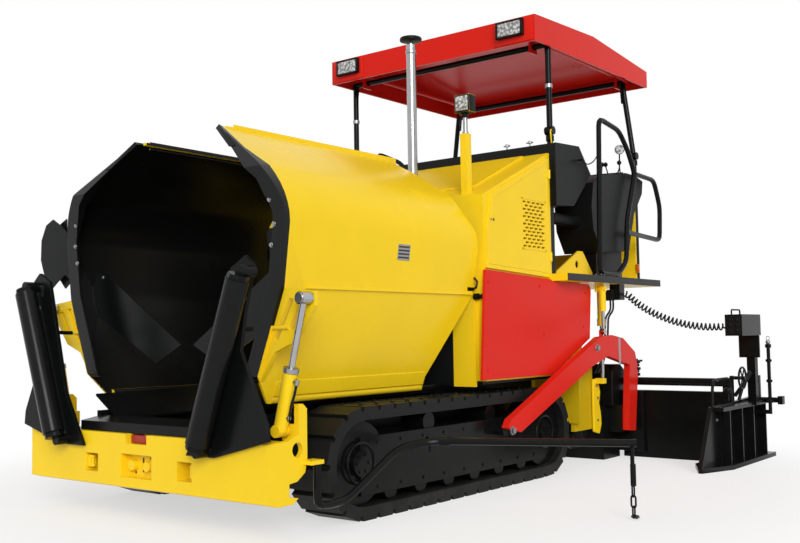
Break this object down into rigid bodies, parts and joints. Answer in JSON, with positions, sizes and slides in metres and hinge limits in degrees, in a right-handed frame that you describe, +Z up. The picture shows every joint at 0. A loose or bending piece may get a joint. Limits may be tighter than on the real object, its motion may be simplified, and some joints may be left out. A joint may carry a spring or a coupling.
{
  "type": "asphalt paver",
  "caption": "Compact tracked asphalt paver: folding hopper, slat conveyor, augers, floating screed with sliding extensions, and an operator platform under a folding roof.",
  "frame": {"origin": "on the ground, on the centre plane, straight below the push beam's front face", "axes": "+X to the machine's left, +Y to its rear, +Z up"},
  "size_m": [4.018, 4.5525, 3.14],
  "materials": {
    "yellow_paint": "gloss",
    "red_paint": "gloss",
    "black_paint": "gloss",
    "dark_steel": "worn",
    "chrome": "polished",
    "rubber": "matt",
    "black_plastic": "satin",
    "seat_cloth": "woven"
  },
  "bodies": {
    "tractor": {"push_beam": "yellow_paint", "chassis": "yellow_paint", "hopper_box": "black_paint", "conveyor": "dark_steel", "track_frame_left": "black_paint", "track_frame_right": "black_paint", "track_left": "rubber", "track_right": "rubber", "body_shell": "yellow_paint", "engine_block": "dark_steel", "side_panel_left": "red_paint", "side_panel_right": "red_paint", "exhaust": "chrome", "lamp_post": "yellow_paint", "platform": "yellow_paint", "dashboard": "black_plastic", "console": "black_plastic", "seat_cushion": "seat_cloth", "handrail_left": "black_paint", "handrail_right": "black_paint", "curly_cord": "rubber"},
    "hood_lid": {"hood_lid": "yellow_paint"},
    "roof_front": {"roof_posts_front": "black_paint"},
    "roof": {"canopy_roof": "red_paint", "roof_lamp_left": "black_plastic", "roof_lamp_right": "black_plastic"},
    "roof_rear": {"roof_posts_rear": "black_paint"},
    "screed": {"tow_arm_left": "red_paint", "tow_arm_right": "red_paint", "screed_body": "black_paint"},
    "guide_bar": {"guide_bar": "black_paint", "guide_chain": "dark_steel"},
    "wing_left": {"wing_left": "yellow_paint"},
    "wing_barrel_left": {"wing_barrel_left": "yellow_paint"},
    "wing_rod_left": {"wing_rod_left": "chrome"},
    "push_arm_left": {"push_arm_left": "black_paint"},
    "push_roller_left": {"push_roller_left": "dark_steel"},
    "engine_door_left": {"engine_door_left": "yellow_paint"},
    "lift_barrel_left": {"lift_barrel_left": "yellow_paint"},
    "lift_rod_left": {"lift_rod_left": "chrome"},
    "extension_left": {"screed_extension_left": "black_paint", "end_gate_left": "black_paint"},
    "auger_left": {"auger_left": "dark_steel"},
    "wing_right": {"wing_right": "yellow_paint"},
    "wing_barrel_right": {"wing_barrel_right": "yellow_paint"},
    "wing_rod_right": {"wing_rod_right": "chrome"},
    "push_arm_right": {"push_arm_right": "black_paint"},
    "push_roller_right": {"push_roller_right": "dark_steel"},
    "engine_door_right": {"engine_door_right": "yellow_paint"},
    "lift_barrel_right": {"lift_barrel_right": "yellow_paint"},
    "lift_rod_right": {"lift_rod_right": "chrome"},
    "extension_right": {"screed_extension_right": "black_paint", "end_gate_right": "black_paint"},
    "auger_right": {"auger_right": "dark_steel"}
  },
  "joints": [
    {"name": "wing_fold_left", "type": "hinge", "parent": "tractor", "child": "wing_left", "pos_m": [0.645, 1, 0.632], "axis": [0, 1, 0], "range_deg": [0, 50]},
    {"name": "wing_barrel_left", "type": "hinge", "parent": "tractor", "child": "wing_barrel_left", "pos_m": [0.87, 0.17, 0.5], "axis": [0, 1, 0], "range_deg": [0, 54.8]},
    {"name": "wing_rod_left", "type": "slide", "parent": "wing_barrel_left", "child": "wing_rod_left", "axis": [0.2553, 0, 0.9669], "range_m": [-0.2165, 0]},
    {"name": "push_arm_left", "type": "hinge", "parent": "tractor", "child": "push_arm_left", "pos_m": [0.66, -0.01, 0.48], "axis": [0, 1, 0], "range_deg": [0, 70]},
    {"name": "push_roller_left", "type": "hinge", "parent": "push_arm_left", "child": "push_roller_left", "pos_m": [0.585, -0.095, 0.44], "axis": [0.3473, 0, 0.9378], "continuous": true},
    {"name": "engine_door_left", "type": "hinge", "parent": "tractor", "child": "engine_door_left", "pos_m": [0.952, 2.655, 1.7], "axis": [0, 0, 1], "range_deg": [0, 85]},
    {"name": "lift_barrel_left", "type": "hinge", "parent": "tractor", "child": "lift_barrel_left", "pos_m": [1, 3.3, 1.25], "axis": [-1, 0, 0], "range_deg": [0, 19]},
    {"name": "lift_rod_left", "type": "slide", "parent": "lift_barrel_left", "child": "lift_rod_left", "axis": [0, 0, -1], "range_m": [-0.1115, 0]},
    {"name": "extension_slide_left", "type": "slide", "parent": "screed", "child": "extension_left", "axis": [-1, 0, 0], "range_m": [0, 0.62], "deforming": ["curly_cord"]},
    {"name": "auger_spin_left", "type": "hinge", "parent": "tractor", "child": "auger_left", "pos_m": [0.05, 3.33, 0.25], "axis": [1, 0, 0], "continuous": true},
    {"name": "wing_fold_right", "type": "hinge", "parent": "tractor", "child": "wing_right", "pos_m": [-0.645, 1, 0.632], "axis": [0, -1, 0], "range_deg": [0, 50]},
    {"name": "wing_barrel_right", "type": "hinge", "parent": "tractor", "child": "wing_barrel_right", "pos_m": [-0.87, 0.17, 0.5], "axis": [0, -1, 0], "range_deg": [0, 54.8]},
    {"name": "wing_rod_right", "type": "slide", "parent": "wing_barrel_right", "child": "wing_rod_right", "axis": [-0.2553, 0, 0.9669], "range_m": [-0.2165, 0]},
    {"name": "push_arm_right", "type": "hinge", "parent": "tractor", "child": "push_arm_right", "pos_m": [-0.66, -0.01, 0.48], "axis": [0, -1, 0], "range_deg": [0, 70]},
    {"name": "push_roller_right", "type": "hinge", "parent": "push_arm_right", "child": "push_roller_right", "pos_m": [-0.585, -0.095, 0.44], "axis": [-0.3473, 0, 0.9378], "continuous": true},
    {"name": "engine_door_right", "type": "hinge", "parent": "tractor", "child": "engine_door_right", "pos_m": [-0.952, 2.655, 1.7], "axis": [0, 0, -1], "range_deg": [0, 85]},
    {"name": "lift_barrel_right", "type": "hinge", "parent": "tractor", "child": "lift_barrel_right", "pos_m": [-1, 3.3, 1.25], "axis": [-1, 0, 0], "range_deg": [0, 19]},
    {"name": "lift_rod_right", "type": "slide", "parent": "lift_barrel_right", "child": "lift_rod_right", "axis": [0, 0, -1], "range_m": [-0.1115, 0]},
    {"name": "extension_slide_right", "type": "slide", "parent": "screed", "child": "extension_right", "axis": [1, 0, 0], "range_m": [0, 0.62]},
    {"name": "auger_spin_right", "type": "hinge", "parent": "tractor", "child": "auger_right", "pos_m": [-0.05, 3.33, 0.25], "axis": [1, 0, 0], "continuous": true},
    {"name": "screed_lift", "type": "hinge", "parent": "tractor", "child": "screed", "pos_m": [0, 2, 0.35], "axis": [1, 0, 0], "range_deg": [0, 5.5]},
    {"name": "hood_lid_open", "type": "hinge", "parent": "tractor", "child": "hood_lid", "pos_m": [0, 2.64, 2.15722], "axis": [-1, 0, 0], "range_deg": [0, 60]},
    {"name": "roof_fold", "type": "hinge", "parent": "tractor", "child": "roof_front", "pos_m": [0, 2.81, 2.34], "axis": [-1, 0, 0], "range_deg": [0, 60]},
    {"name": "roof_level", "type": "hinge", "parent": "roof_front", "child": "roof", "pos_m": [0, 2.81, 2.95], "axis": [-1, 0, 0], "range_deg": [-60, 0]},
    {"name": "roof_rear_fold", "type": "hinge", "parent": "tractor", "child": "roof_rear", "pos_m": [0, 4.16, 2.34], "axis": [-1, 0, 0], "range_deg": [0, 60]},
    {"name": "guide_bar_swing", "type": "hinge", "parent": "tractor", "child": "guide_bar", "pos_m": [0.985, 0.3, 0.3], "axis": [0, 0, -1], "range_deg": [0, 40]}
  ],
  "couplings": [
    {"joint": "wing_barrel_left", "follows": "wing_fold_left", "ratio": 1.0959},
    {"joint": "wing_rod_left", "follows": "wing_fold_left", "m_per_rad": -0.24755},
    {"joint": "lift_barrel_left", "follows": "screed_lift", "ratio": 3.4522},
    {"joint": "lift_rod_left", "follows": "screed_lift", "m_per_rad": -1.1597},
    {"joint": "wing_barrel_right", "follows": "wing_fold_right", "ratio": 1.0959},
    {"joint": "wing_rod_right", "follows": "wing_fold_right", "m_per_rad": -0.24755},
    {"joint": "lift_barrel_right", "follows": "screed_lift", "ratio": 3.4522},
    {"joint": "lift_rod_right", "follows": "screed_lift", "m_per_rad": -1.1597},
    {"joint": "roof_level", "follows": "roof_fold", "ratio": -1},
    {"joint": "roof_rear_fold", "follows": "roof_fold", "ratio": 1}
  ]
}
